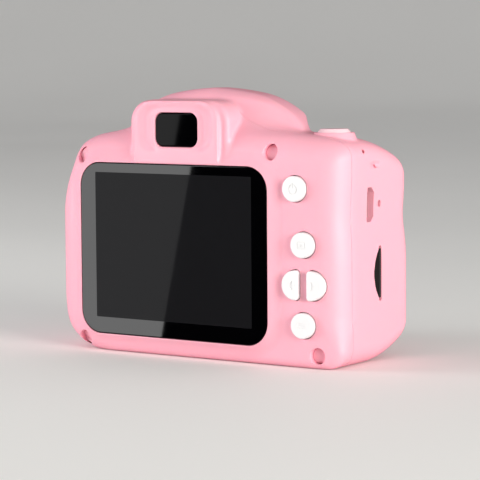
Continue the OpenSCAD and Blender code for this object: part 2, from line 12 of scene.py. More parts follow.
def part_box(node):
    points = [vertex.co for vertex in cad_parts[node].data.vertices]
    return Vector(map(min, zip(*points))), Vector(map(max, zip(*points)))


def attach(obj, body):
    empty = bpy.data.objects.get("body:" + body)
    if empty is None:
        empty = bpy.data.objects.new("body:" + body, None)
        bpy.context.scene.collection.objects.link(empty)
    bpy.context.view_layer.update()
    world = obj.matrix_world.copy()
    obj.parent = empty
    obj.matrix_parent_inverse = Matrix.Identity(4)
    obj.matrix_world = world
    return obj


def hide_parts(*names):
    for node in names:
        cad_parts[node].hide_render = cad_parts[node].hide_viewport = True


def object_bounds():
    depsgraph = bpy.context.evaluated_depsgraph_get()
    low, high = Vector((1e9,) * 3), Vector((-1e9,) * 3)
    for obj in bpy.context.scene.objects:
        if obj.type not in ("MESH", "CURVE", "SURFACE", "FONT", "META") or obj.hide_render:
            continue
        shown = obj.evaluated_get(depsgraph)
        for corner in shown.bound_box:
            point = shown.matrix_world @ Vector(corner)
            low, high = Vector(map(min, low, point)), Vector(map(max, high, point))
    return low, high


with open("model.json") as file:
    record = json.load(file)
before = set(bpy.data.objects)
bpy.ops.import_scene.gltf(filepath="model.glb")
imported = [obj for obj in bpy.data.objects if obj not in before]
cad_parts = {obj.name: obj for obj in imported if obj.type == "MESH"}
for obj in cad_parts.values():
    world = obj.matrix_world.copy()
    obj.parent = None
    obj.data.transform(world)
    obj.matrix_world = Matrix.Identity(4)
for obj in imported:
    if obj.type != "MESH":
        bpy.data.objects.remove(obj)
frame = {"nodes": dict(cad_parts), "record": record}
cad_box = [list(corner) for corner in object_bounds()]
MM = 0.001


def limits(node):
    lo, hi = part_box(node)
    return np.array(lo) / MM, np.array(hi) / MM


def middle(node):
    lo, hi = limits(node)
    return (lo + hi) / 2


# ---- places taken from the CAD frame -------------------------------------------------
glass_lo, glass_hi = limits("screen_window")
SCREEN_Y = glass_lo[1]                       # frame Y of the screen face
glass = middle("screen_window")
GLASS_W, GLASS_H = glass_hi[0] - glass_lo[0], glass_hi[2] - glass_lo[2]
GLASS_R, GLASS_T = 5.5, glass_hi[1] - glass_lo[1]
PICTURE_AT, PICTURE_SIZE = (glass[0] + 0.1, glass[2] + 0.8), (43.6, 33.9)
finder = middle("viewfinder_window")
finder_lo, finder_hi = limits("viewfinder_window")
lens = middle("lens_barrel")
flash = middle("flash_window")
shutter = middle("shutter_button")
power, mode, menu = (middle(n + "_button") for n in ("power", "mode", "menu"))
left_lo, left_hi = limits("left_button")
right_lo, right_hi = limits("right_button")
mic = middle("microphone")
reset = middle("reset_switch")
speaker = middle("speaker")
HALF_W = (cad_box[1][0] - cad_box[0][0]) / 2 / MM


def depth_of(y):
    """Distance from the screen face of a place in the frame."""
    return y - SCREEN_Y


SHUTTER_AT = (shutter[0], depth_of(shutter[1]))
SPEAKER_AT = (speaker[0], depth_of(speaker[1]))
FLASH_AT, MIC_AT = (flash[0], flash[2]), (mic[0], mic[2])

# ---- sizes of the case ---------------------------------------------------------------
SHOULDER = 52.6
PANEL, FRONT, GRIP = 1.2, 28.5, 33.0         # button panel, front wall and grip
PANEL_BEND, PANEL_TURN = 29.5, 0.011         # where and how fast the panel turns to the right side
LAND_W, LAND_POWER = 3.4, 1.6                # fall of the land round the screen
RIM = -0.2                                   # raised land round the screen
SEAM, WALL, INSIDE = 6.5, 1.8, 3.0
HUMP_X, HUMP_BASE = -0.1, 50.5
FINDER_HALF, FINDER_FLARE, FINDER_TOP, FINDER_FACE = 11.75, 2.0, 58.8, -0.5
BUTTON_R, BUTTON_GAP, BUTTON_FACE = 2.85, 0.18, 0.2
HALF_BUTTON_R, FLAT_CUT, SKIRT = 3.3, 0.8, 0.6
LEFT_AT = (left_hi[0] - SKIRT - FLAT_CUT, (left_lo[2] + left_hi[2]) / 2)
RIGHT_AT = (right_lo[0] + SKIRT + FLAT_CUT, (right_lo[2] + right_hi[2]) / 2)
SHUTTER_R, SHUTTER_TOP = 3.7, 52.6
PAD_FOOT, PAD_TOP, PAD_FOOT_R, PAD_TOP_R = 49.6, 51.8, 5.3, 4.45
WELLS = [(-31.3, 45.9), (-30.6, 2.7), (21.8, 47.6), (33.9, 3.0)]
WELL_R, WELL_DEPTH, SCREW_HEAD, PLUG_SUNK = 1.8, 5.2, 1.1, 1.2
USB_DEPTH, USB_Z, USB_HALF = 14.6, 35.8, 3.85
CARD_DEPTH, CARD_Z = 18.4, 20.2
RESET_DEPTH = 18.6
NOTCH_R, NOTCH_OUT = 8.1, 5.45               # finger notch beside the card
STRAP = [(HALF_W + 1, 16.6, 44.2), (HALF_W - 2.5, 16.6, 44.2),
         (HALF_W - 2.5, 12.8, 46.6), (HALF_W + 0.6, 10.9, 48.3)]
DIMPLE, DIMPLE_HALVES = (16.4, 44.6), (0.6, 1.9, 0.65)
STRAP_R = 0.42
BOSS_R, CLEARANCE_R = 3.4, 1.15              # case screws: boss and hole in the rear half
FRONT_BOSS_R, PILOT_R = 2.9, 0.8             # and in the front half
KEY_POST_R, KEY_PILOT_R = 1.5, 0.6
BOARD_POST_R, BOARD_PILOT_R = 2.1, 0.75
COLLAR_R, COLLAR_BORE, LENS_BORE = 23.4, 19.8, 6.2
FLASH_SEAT_R, FLASH_BORE = 4.5, 3.2
GRILLE_R, GRILLE_RING, MIC_R = 0.6, 3.2, 0.6
HUB_R, SKIRT_BORE, ROOF = 5.6, 4.95, 48.2    # round the shutter button
SLOT_W, SLOT_H = 0.6, 6.2                    # half sizes of the card slot
BOARD_POSTS = [(-29.5, 13), (-29.5, 37.5), (30.2, 30), (25.5, 8.2)]
KEY_POSTS = [(25.9, 13), (26.4, 33.4)]


# ---- distance fields -----------------------------------------------------------------
def step(v, a, b):
    """0 at a, 1 at b, with a smooth rise between."""
    t = np.clip((v - a) / (b - a), 0, 1)
    return t * t * (3 - 2 * t)


def mix(a, b, t):
    return a + (b - a) * t


def soft_min(a, b, k):
    """Smaller of a and b, blended where they differ by less than k."""
    h = np.maximum(k - np.abs(a - b), 0) / k
    return np.minimum(a, b) - h * h * k / 4


def soft_max(a, b, k):
    return -soft_min(-a, -b, k)


def round_max(a, b, r):
    """Both a and b, with the edge between them rounded to radius r."""
    return np.hypot(np.maximum(a + r, 0), np.maximum(b + r, 0)) + np.minimum(np.maximum(a, b), -r)


def cut(a, b, r=0.25):
    """a with b taken out, and the mouth of the cut rounded."""
    return round_max(a, -b, r)


def rect(u, v, cu, cv, hu, hv, r):
    """A rectangle of half sizes hu and hv round (cu, cv), with corners of radius r."""
    a, b = np.abs(u - cu) - hu + r, np.abs(v - cv) - hv + r
    return np.hypot(np.maximum(a, 0), np.maximum(b, 0)) + np.minimum(np.maximum(a, b), 0) - r


def slab(v, a, b):
    """The layer from a to b."""
    return np.maximum(a - v, v - b)


def disc(u, v, cu, cv, r):
    return np.hypot(u - cu, v - cv) - r


def above(u, v, p, q):
    """Distance above the line from p to q, when q is on p's left."""
    du, dv = q[0] - p[0], q[1] - p[1]
    return -((v - p[1]) * du - (u - p[0]) * dv) / math.hypot(du, dv)


def outline(x, z):
    """The case seen from behind."""
    lean = 0.43 * soft_max(z - 36.5, 0, 5) * step(-x, 12, 30)
    waist = 0.45 * np.exp(-(((z - 34) / 6) ** 2)) * step(x, 25, 38)
    half = SHOULDER / 2
    r = np.where(x > 0, np.where(z > half, 7.0, 4.6), np.where(z > half, 5.0, 13.0))
    d = rect(x - lean + waist, z, 0, half, HALF_W, half, r)
    d = soft_max(d, above(x, z, (HALF_W, 50.0), (24, 52.6)), 3)
    return soft_max(d, -above(x, z, (-36, 49.2), (-25, 52.0)), 3)


def rear_depth(x, z):
    """The land round the screen, falling to the button panel, which turns towards the side."""
    g = rect(x, z, glass[0], glass[2], GLASS_W / 2, GLASS_H / 2, GLASS_R)
    turned_side = np.maximum(x - PANEL_BEND, 0) ** 2 * PANEL_TURN
    return mix(RIM, PANEL, 1 - (1 - np.clip(g / LAND_W, 0, 1)) ** LAND_POWER) + turned_side


def case_body(x, y, z):
    """The case without its hump: its top falls and its base rises towards the lens side."""
    fall = np.maximum(y - 12, 0) ** 2 / 75
    rise = np.maximum(y - 16, 0) ** 2 / 56
    f = outline(x, z + mix(-rise, fall, step(z, 12, 44)))
    right = step(x, -20, 30)
    rear_r = mix(mix(7.5, 5.8, right), mix(2.0, 4.5, step(x, -22, -36)), step(z, 12, 3))
    front_r = mix(8.0, mix(4.0, 5.2, step(z, 22, 36)), right)
    front = mix(FRONT, GRIP, step(x, 22.5, 27.5))
    return round_max(round_max(f, rear_depth(x, z) - y, rear_r), y - front, front_r)


def hump(x, y, z):
    """The prism hump: an arch with flanks cut off towards the viewfinder."""
    side = np.abs(x - HUMP_X)
    w = side + np.maximum(y - 10.5, 0) ** 2 * mix(0.045, 0.022, step(z, 52.5, 56))
    arch = above(w, z, (25.0, 50), (24.5, 53))
    for p, q, k in (((24.6, 53), (21.1, 56.4), 1.5), ((21.5, 56.2), (17.4, 58.9), 2),
                    ((17.4, 59.0), (8, 61.3), 2.5), ((8, 61.4), (0, 61.62), 2)):
        arch = soft_max(arch, above(w, z, p, q), k)
    up = soft_max(z - HUMP_BASE, 0, 4)
    back = (up * 6.4 - (y - 2.8) * 11.1) / 12.81
    diagonal = ((side - 11.0) * 82.95 - (y - 2.8) * 151.2 + up * 86.4) / 193.0
    back = soft_max(back, diagonal, 3)
    front = ((y - FRONT + 0.2) * 12.6 + (z - 49) * 4.8) / 13.48
    d = round_max(arch, back, mix(0.9, 2.4, step(z, 57, 61)))
    return np.maximum(round_max(d, front, 6), 38 - z)


def finder_block(x, y, z):
    """The frame round the viewfinder window, in two steps; outer() dishes its face."""
    mid = FINDER_TOP - 8
    steps = []
    for grow, face, r in ((0, FINDER_FACE, 0.7), (FINDER_FLARE, FINDER_FACE + 1.3, 1.3)):
        o = rect(x, z, finder[0], mid, FINDER_HALF + grow, 8, 5.0)
        o = np.where(z < mid, np.abs(x - finder[0]) - FINDER_HALF - grow, o)
        steps.append(round_max(o, face - y, r))
    return np.maximum(np.maximum(soft_min(*steps, 0.9), y - 12), 44 - z)


def outer(x, y, z):
    """The whole outside of the case."""
    d = soft_min(case_body(x, y, z), hump(x, y, z), mix(3.0, 0.8, step(y, 8, 12)))
    d = soft_min(d, finder_block(x, y, z), 0.8)
    # dished face of the viewfinder frame
    dish = rect(x, z, finder[0], finder[2] + 0.4, FINDER_HALF - 1.0, 6.0, 4.2)
    rim = rect(x, z, finder[0], finder[2], 6.1, 4.1, 2.3)
    floor = mix(FINDER_FACE, 0.3, step(dish, 0.0, -2.2)) - 0.35 * step(rim, 1.3, 0.2)
    return soft_max(d, np.minimum(floor - y, 9.0) - 1e3 * (z < 44.5), 0.3)


def button_outline(x, z, grow):
    """Distance to the nearest rear button's outline."""
    d = np.minimum(disc(x, z, power[0], power[2], BUTTON_R), disc(x, z, mode[0], mode[2], BUTTON_R))
    d = np.minimum(d, disc(x, z, menu[0], menu[2], BUTTON_R))
    return np.minimum(d, np.minimum(half_outline(x, z, 1), half_outline(x, z, -1))) - grow


def half_outline(x, z, side):
    """A D button: its flat side towards +X when side is 1."""
    centre = LEFT_AT if side > 0 else RIGHT_AT
    u, v = x - centre[0], z - centre[1]
    return round_max(np.hypot(u, v) - HALF_BUTTON_R, side * u - FLAT_CUT, 0.7)


def wells(x, z, r):
    """Distance to circles of radius r round the case screws."""
    return np.minimum.reduce([disc(x, z, *p, r) for p in WELLS])


def rear_shell(x, y, z):
    """Rear half of the case, with its screen pocket, button holes, screw wells and posts."""
    form = outer(x, y, z)
    d = round_max(form, y - SEAM, 0.12)
    d = np.maximum(d, -np.maximum(form + WALL, INSIDE - y))
    posts = np.maximum(wells(x, z, BOSS_R), slab(y, PANEL, SEAM))
    for p in KEY_POSTS:
        posts = np.minimum(posts, np.maximum(disc(x, z, *p, KEY_POST_R), slab(y, INSIDE - 0.5, 6.2)))
    d = soft_min(d, np.maximum(posts, form + 0.3), 0.5)
    # screen pocket and picture opening
    pocket = rect(x, z, glass[0], glass[2], GLASS_W / 2 + 0.1, GLASS_H / 2 + 0.1, GLASS_R + 0.1)
    d = cut(d, np.maximum(pocket, y - GLASS_T - 0.15), 0.3)
    opening = rect(x, z, *PICTURE_AT, PICTURE_SIZE[0] / 2 + 0.7, PICTURE_SIZE[1] / 2 + 0.7, 0.8)
    d = np.maximum(d, -np.maximum(opening, y - 4))
    # viewfinder window seat
    seat = rect(x, z, finder[0], finder[2], 5.95, 3.93, 2.1)
    d = cut(d, np.maximum(seat, y - 1.9), 0.2)
    d = np.maximum(d, -np.maximum(rect(x, z, finder[0], finder[2], 4.8, 2.9, 1.6), y - 4))
    # buttons, screw wells and post pilots
    d = cut(d, np.maximum(button_outline(x, z, BUTTON_GAP), y - INSIDE - 1), 0.3)
    d = np.maximum(d, -np.maximum(button_outline(x, z, 0.8), slab(y, INSIDE, 6.2)))
    d = cut(d, np.maximum(wells(x, z, WELL_R), y - WELL_DEPTH), 0.35)
    d = np.maximum(d, -wells(x, z, CLEARANCE_R))
    for p in KEY_POSTS:
        d = np.maximum(d, -np.maximum(disc(x, z, *p, KEY_PILOT_R), INSIDE - y))
    return d


def along(p, a, b):
    """Distance from points p to the line piece from a to b."""
    a, b = np.array(a, float), np.array(b, float)
    ab = b - a
    t = np.clip(sum((p[i] - a[i]) * ab[i] for i in range(3)) / (ab @ ab), 0, 1)
    return np.sqrt(sum((p[i] - a[i] - t * ab[i]) ** 2 for i in range(3)))


def pad_radius(z):
    """Radius of the cone the shutter button stands in."""
    return mix(PAD_FOOT_R, PAD_TOP_R, np.clip((z - PAD_FOOT) / (PAD_TOP - PAD_FOOT), 0, 1))


def front_posts(x, y, z):
    """Posts for the screws, the ring that holds the speaker and the ledges of the shutter board."""
    posts = np.maximum(wells(x, z, FRONT_BOSS_R), slab(y, SEAM + 0.05, 16.5))
    for p in BOARD_POSTS:
        posts = np.minimum(posts, np.maximum(disc(x, z, *p, BOARD_POST_R), slab(y, 17, FRONT - 1)))
    for s in (-8, 8):
        post = disc(x, z, lens[0] + s, lens[2] + s, 1.7)
        posts = np.minimum(posts, np.maximum(post, slab(y, FRONT - 4.3, FRONT - 1)))
    ring = disc(x, y, *SPEAKER_AT, 7.58)
    ring = np.maximum(np.abs(ring) - 0.42, np.maximum(slab(z, 1.4, 4.0), SEAM + 1.2 - y))
    posts = np.minimum(posts, ring)
    for a in (26.4, 38):
        posts = np.minimum(posts, np.maximum(rect(x, y, a, 12, 0.8, 3.8, 0.1), slab(z, 40.4, 41.9)))
    posts = np.minimum(posts, np.maximum(rect(x, y, 32.2, 15.05, 6.6, 0.75, 0.1), slab(z, 40.4, 41.9)))
    return posts


def side_openings(d, x, y, z):
    """d with the charging socket, card slot, finger notch, reset hole and strap anchor taken out."""
    side = 34 - x
    usb_hole = rect(y, z, USB_DEPTH, USB_Z, 1.45, USB_HALF, 0.2)
    chamfer = (y - USB_DEPTH - 1.4 + np.abs(z - USB_Z) - USB_HALF + 1.1) / math.sqrt(2)
    d = cut(d, np.maximum(np.maximum(usb_hole, chamfer), side), 0.12)
    d = cut(d, np.maximum(rect(y, z, CARD_DEPTH, CARD_Z, SLOT_W, SLOT_H, 0.55), side), 0.12)
    notch = np.maximum(disc(y, z, CARD_DEPTH + NOTCH_OUT, CARD_Z, NOTCH_R), y - CARD_DEPTH)
    d = cut(d, np.maximum(notch, side), 0.12)
    d = cut(d, np.maximum(rect(y, z, RESET_DEPTH, reset[2], 0.55, 0.75, 0.54), side), 0.12)
    offsets = (x - HALF_W, y - DIMPLE[0], z - DIMPLE[1])
    dimple = np.sqrt(sum((v / half) ** 2 for v, half in zip(offsets, DIMPLE_HALVES)))
    d = cut(d, (dimple - 1) * 0.5, 0.3)
    for a, b in zip(STRAP, STRAP[1:]):
        d = np.maximum(d, STRAP_R - along((x, y, z), a, b))
    return d


def front_shell(x, y, z):
    """Front half of the case, with the shutter cone, lens collar, posts and side openings."""
    form = outer(x, y, z)
    pad = disc(x, y, *SHUTTER_AT, pad_radius(z) - 0.05)
    pad = np.maximum(np.maximum(pad, z - PAD_TOP + 0.6), 45.5 - z)
    radius = np.hypot(x - lens[0], z - lens[2])
    collar = round_max(round_max(radius - COLLAR_R, y - FRONT - 2.1, 0.9), COLLAR_BORE - radius, 0.3)
    d = soft_min(form, pad, 0.5)
    inner = form + WALL
    block = rect(y, z, 13.3, 47.5, 5.3, 4.5, 0.5)
    inner = np.maximum(inner, -np.maximum(block, HALF_W - 3.8 - x))
    hub = np.maximum(disc(x, y, *SHUTTER_AT, HUB_R), ROOF - z)
    inner = np.maximum(inner, -hub)
    d = np.maximum(round_max(d, SEAM + 0.04 - y, 0.12), -inner)
    d = np.minimum(d, np.maximum(collar, 20 - y))
    posts = front_posts(x, y, z)
    d = np.minimum(d, np.maximum(posts, form + 0.3))
    seat = np.maximum(disc(x, z, *FLASH_AT, FLASH_SEAT_R), slab(y, 20.4, FRONT))
    d = np.minimum(d, np.maximum(seat, form))
    # shutter hole and the well of its skirt
    hole = disc(x, y, *SHUTTER_AT, 0)
    d = np.maximum(d, -np.maximum(hole - SHUTTER_R - BUTTON_GAP - 0.25, slab(z, 46, 60)))
    d = np.maximum(d, -np.maximum(hole - SKIRT_BORE, slab(z, 42.9, ROOF)))
    d = side_openings(d, x, y, z)
    # speaker grille, lens, microphone and flash openings, pilots
    grille = disc(x, y, *SPEAKER_AT, GRILLE_R)
    for k in range(6):
        a = math.radians(60 * k)
        at = SPEAKER_AT[0] + GRILLE_RING * math.cos(a), SPEAKER_AT[1] + GRILLE_RING * math.sin(a)
        grille = np.minimum(grille, disc(x, y, *at, GRILLE_R))
    d = cut(d, np.maximum(grille, z - 3), 0.15)
    d = cut(d, np.maximum(radius - LENS_BORE, FRONT - 5 - y), 0.3)
    d = cut(d, np.maximum(disc(x, z, *MIC_AT, MIC_R), FRONT - 4 - y), 0.15)
    d = cut(d, np.maximum(disc(x, z, *FLASH_AT, FLASH_BORE), 20 - y), 0.3)
    pilots = np.maximum(wells(x, z, PILOT_R), y - 15)
    for p in BOARD_POSTS:
        pilots = np.minimum(pilots, np.maximum(disc(x, z, *p, BOARD_PILOT_R), y - 22.5))
    return np.maximum(d, -pilots)


# ---- meshes --------------------------------------------------------------------------
def contour(field, lo, hi, cell):
    """Points and quads of the surface field = 0, with a point on each sharp edge (dual contouring)."""
    base = np.array(lo, float)
    axes = [l + cell * np.arange(int(math.ceil((h - l) / cell)) + 1) for l, h in zip(lo, hi)]
    n = [len(a) for a in axes]
    v = field(*np.meshgrid(*axes, indexing="ij"))
    stride = np.array([n[1] * n[2], n[2], 1])
    total = int(np.prod(n))
    sums = np.zeros((13, total))
    rings = []
    for a in range(3):
        low, high = [slice(None)] * 3, [slice(None)] * 3
        low[a], high[a] = slice(0, -1), slice(1, None)
        v0, v1 = v[tuple(low)], v[tuple(high)]
        ijk = np.argwhere((v0 < 0) != (v1 < 0))
        b, c = (a + 1) % 3, (a + 2) % 3
        inner = (ijk[:, [b, c]] > 0).all(1) & (ijk[:, b] < n[b] - 1) & (ijk[:, c] < n[c] - 1)
        ijk = ijk[inner]
        f0, f1 = v0[tuple(ijk.T)], v1[tuple(ijk.T)]
        inside = f0 < 0
        p = base + cell * ijk
        t0, t1 = np.zeros(len(p)), np.ones(len(p))
        for _ in range(4):
            t = np.clip((t0 * f1 - t1 * f0) / (f1 - f0), mix(t0, t1, 0.02), mix(t0, t1, 0.98))
            q = p.copy()
            q[:, a] += cell * t
            f = field(*q.T)
            same = (f < 0) == (f0 < 0)
            t0, f0 = np.where(same, t, t0), np.where(same, f, f0)
            t1, f1 = np.where(same, t1, t), np.where(same, f1, f)
        q = p.copy()
        q[:, a] += cell * (t0 * f1 - t1 * f0) / (f1 - f0)
        g = np.stack([field(*(q + e).T) - field(*(q - e).T) for e in 0.01 * np.eye(3)], 1)
        g /= np.linalg.norm(g, axis=1)[:, None] + 1e-12
        along_g = (g * q).sum(1)[:, None]
        pairs = [g[:, i] * g[:, j] for i, j in ((0, 0), (0, 1), (0, 2), (1, 1), (1, 2), (2, 2))]
        rows = np.vstack([*pairs, (g * along_g).T, q.T, np.ones(len(q))])
        flat = ijk @ stride
        ring = np.stack([flat, flat - stride[b], flat - stride[b] - stride[c], flat - stride[c]], 1)
        for cells in ring.T:
            for k in range(13):
                sums[k] += np.bincount(cells, rows[k], total)
        rings.append(np.where(inside[:, None], ring, ring[:, ::-1]))
    used = np.flatnonzero(sums[12])
    s = sums[:, used]
    centre = (s[9:12] / s[12]).T
    square = s[[0, 1, 2, 1, 3, 4, 2, 4, 5]].T.reshape(-1, 3, 3)
    rest = s[6:9].T - np.einsum("nij,nj->ni", square, centre)
    points = centre + np.linalg.solve(square + 0.08 * np.eye(3), rest[..., None])[..., 0]
    corner = base + cell * np.column_stack(np.unravel_index(used, n))
    points = np.clip(points, corner, corner + cell)
    number = np.zeros(total, np.int64)
    number[used] = np.arange(len(used))
    return points, number[np.concatenate(rings)]


def add_mesh(name, points, quads, sharp=32):
    """A mesh object from points in millimetres (x, depth, z) and quads, smooth but for its sharp edges."""
    mesh = bpy.data.meshes.new(name)
    co = np.array(points, float)
    co[:, 1] += SCREEN_Y
    mesh.vertices.add(len(co))
    mesh.vertices.foreach_set("co", (co * MM).astype(np.float32).ravel())
    mesh.loops.add(quads.size)
    mesh.loops.foreach_set("vertex_index", quads.astype(np.int32).ravel())
    mesh.polygons.add(len(quads))
    mesh.polygons.foreach_set("loop_start", np.arange(0, quads.size, 4, dtype=np.int32))
    mesh.update(calc_edges=True)
    mesh.validate()
    mesh.shade_smooth()
    mesh.set_sharp_from_angle(angle=math.radians(sharp))
    obj = bpy.data.objects.new(name, mesh)
    bpy.context.scene.collection.objects.link(obj)
    return obj


def field_piece(name, field, lo, hi, cell, sharp=32):
    """An object with the surface of a field between the corners lo and hi."""
    points, quads = contour(field, lo, hi, cell)
    return add_mesh(name, points, quads, sharp)


def from_bmesh(name, bm, sharp=32):
    mesh = bpy.data.meshes.new(name)
    bmesh.ops.recalc_face_normals(bm, faces=bm.faces)
    bm.to_mesh(mesh)
    bm.free()
    mesh.shade_smooth()
    mesh.set_sharp_from_angle(angle=math.radians(sharp))
    obj = bpy.data.objects.new(name, mesh)
    bpy.context.scene.collection.objects.link(obj)
    return obj


def fillet(profile, segments=5):
    """Rounds the corners of a closed (r, depth[, radius]) profile."""
    out = []
    count = len(profile)
    for i, corner in enumerate(profile):
        p = Vector(corner[:2])
        a, b = Vector(profile[i - 1][:2]) - p, Vector(profile[(i + 1) % count][:2]) - p
        r = corner[2] if len(corner) > 2 else 0
        if r <= 0 or a.length < 1e-6 or b.length < 1e-6:
            out.append(tuple(p))
            continue
        half = a.angle(b) / 2
        run = min(r / math.tan(half), 0.48 * a.length, 0.48 * b.length)
        r = run * math.tan(half)
        s, e = p + a.normalized() * run, p + b.normalized() * run
        c = p + (a.normalized() + b.normalized()).normalized() * (r / math.sin(half))
        for k in range(segments + 1):
            t = k / segments
            d = (s - c).slerp(e - c, t)
            out.append(tuple(c + d.normalized() * r))
    return out


def turned(name, profile, centre, steps=96, axis="Y", sharp=32, ripple=None):
    """A piece turned about a line through centre, from a closed profile of (radius, place on the line)."""
    bm = bmesh.new()
    rings = []
    for k in range(steps):
        a = 2 * math.pi * k / steps
        ring = []
        for r, h in profile:
            rr = r + (ripple(r, h, a) if ripple else 0)
            u, v = rr * math.cos(a), rr * math.sin(a)
            at = (centre[0] + u, SCREEN_Y + h, centre[2] + v) if axis == "Y" else \
                (centre[0] + u, centre[1] + v, h)
            ring.append(bm.verts.new(Vector(at) * MM))
        rings.append(ring)
    n = len(profile)
    for k in range(steps):
        one, two = rings[k], rings[(k + 1) % steps]
        for i in range(n):
            j = (i + 1) % n
            if profile[i][0] < 1e-6 and profile[j][0] < 1e-6:
                continue
            bm.faces.new((one[i], one[j], two[j], two[i]))
    bmesh.ops.remove_doubles(bm, verts=bm.verts, dist=1e-7)
    return from_bmesh(name, bm, sharp)


# ---- materials -----------------------------------------------------------------------
def srgb(r, g, b):
    """Linear colour from 0-255 display values."""
    return [((c / 255 + 0.055) / 1.055) ** 2.4 if c > 10 else c / 255 / 12.92 for c in (r, g, b)] + [1]


def material(name, colour, rough=0.4, shade=0.9, grain=900, bump=0.02, rough_swing=0.08, wave=None,
             **sockets):
    """Moulded or printed surface: fine grain in the normal, drifting colour and gloss."""
    m = bpy.data.materials.new(name)
    m.use_nodes = True
    nodes, link = m.node_tree.nodes, m.node_tree.links.new
    shader = nodes["Principled BSDF"]
    where = nodes.new("ShaderNodeTexCoord")
    drift = nodes.new("ShaderNodeTexNoise")
    drift.inputs["Scale"].default_value = grain / 12
    drift.inputs["Detail"].default_value = 3
    link(where.outputs["Object"], drift.inputs["Vector"])
    tint = nodes.new("ShaderNodeMix")
    tint.data_type = "RGBA"
    tint.inputs["A"].default_value = colour
    tint.inputs["B"].default_value = [c * shade for c in colour[:3]] + [1]
    link(drift.outputs["Fac"], tint.inputs["Factor"])
    link(tint.outputs["Result"], shader.inputs["Base Color"])
    gloss = nodes.new("ShaderNodeMapRange")
    gloss.inputs["From Min"].default_value, gloss.inputs["From Max"].default_value = 0.3, 0.7
    gloss.inputs["To Min"].default_value = max(rough - rough_swing, 0.01)
    gloss.inputs["To Max"].default_value = min(rough + rough_swing, 1)
    link(drift.outputs["Fac"], gloss.inputs["Value"])
    link(gloss.outputs["Result"], shader.inputs["Roughness"])
    fine = nodes.new("ShaderNodeTexNoise")
    fine.inputs["Scale"].default_value = grain * 4
    fine.inputs["Detail"].default_value = 2
    link(where.outputs["Object"], fine.inputs["Vector"])
    height = fine.outputs["Fac"]
    if wave:
        rings = nodes.new("ShaderNodeTexWave")
        rings.inputs["Scale"].default_value = wave
        rings.inputs["Distortion"].default_value = 1.5
        link(where.outputs["Object"], rings.inputs["Vector"])
        both = nodes.new("ShaderNodeMath")
        both.operation = "ADD"
        link(fine.outputs["Fac"], both.inputs[0])
        link(rings.outputs["Fac"], both.inputs[1])
        height = both.outputs["Value"]
    relief = nodes.new("ShaderNodeBump")
    relief.inputs["Strength"].default_value = 0.6
    relief.inputs["Distance"].default_value = bump * MM
    link(height, relief.inputs["Height"])
    link(relief.outputs["Normal"], shader.inputs["Normal"])
    for socket, value in sockets.items():
        shader.inputs[socket.replace("_", " ")].default_value = value
    return m


PINK = material("pink_plastic", srgb(250, 176, 193), rough=0.42, shade=0.97, bump=0.012,
                Subsurface_Weight=0.08, Subsurface_Scale=0.002, Specular_IOR_Level=0.45)
WHITE = material("white_buttons", srgb(239, 239, 240), rough=0.3, shade=0.97, bump=0.006)
CAP = material("shutter_plastic", srgb(252, 214, 222), rough=0.32, shade=0.98, bump=0.006)
TRIM = material("white_trim", srgb(240, 240, 242), rough=0.25, shade=0.97, bump=0.005)
BEZEL = material("screen_border", srgb(2, 2, 3), rough=0.025, shade=0.9, bump=0.0001, rough_swing=0.008)
PICTURE = material("screen_picture", srgb(23, 23, 25), rough=0.025, shade=0.92, bump=0.0001,
                   rough_swing=0.008, Specular_IOR_Level=0.06)
EYE = material("viewfinder_glass", srgb(2, 2, 3), rough=0.03, shade=0.9, bump=0.0001, rough_swing=0.008,
               Specular_IOR_Level=0.08)
COVER = material("lens_cover_black", srgb(6, 6, 8), rough=0.06, shade=0.8, bump=0.0004, rough_swing=0.02)
CLEAR = material("lens_cover_clear", srgb(235, 238, 245), rough=0.02, shade=0.98, bump=0.0002,
                 rough_swing=0.005, Transmission_Weight=1.0, IOR=1.45)
FLASH = material("flash_lens", srgb(238, 238, 228), rough=0.22, shade=0.94, bump=0.05, wave=420,
                 Transmission_Weight=0.35, IOR=1.5)


def finish_piece(obj, finish, body, slot, *nodes):
    """Gives a piece its material and body, and hides the CAD nodes it stands for; slot is not used."""
    if finish is not None:
        obj.data.materials.append(finish)
    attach(obj, body)
    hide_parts(*nodes)
    return obj


# ---- case ----------------------------------------------------------------------------
rear = field_piece("rear_shell_skin", rear_shell, (-41.1, -1.6, -1.05), (41.2, 7.4, 63.1), 0.4)
finish_piece(rear, PINK, "camera_body", "pink_plastic", "rear_shell")
front = field_piece("front_shell_skin", front_shell, (-41.13, 5.6, -1.07), (41.2, 34.6, 63.2), 0.46)
finish_piece(front, PINK, "camera_body", "pink_plastic", "front_shell")


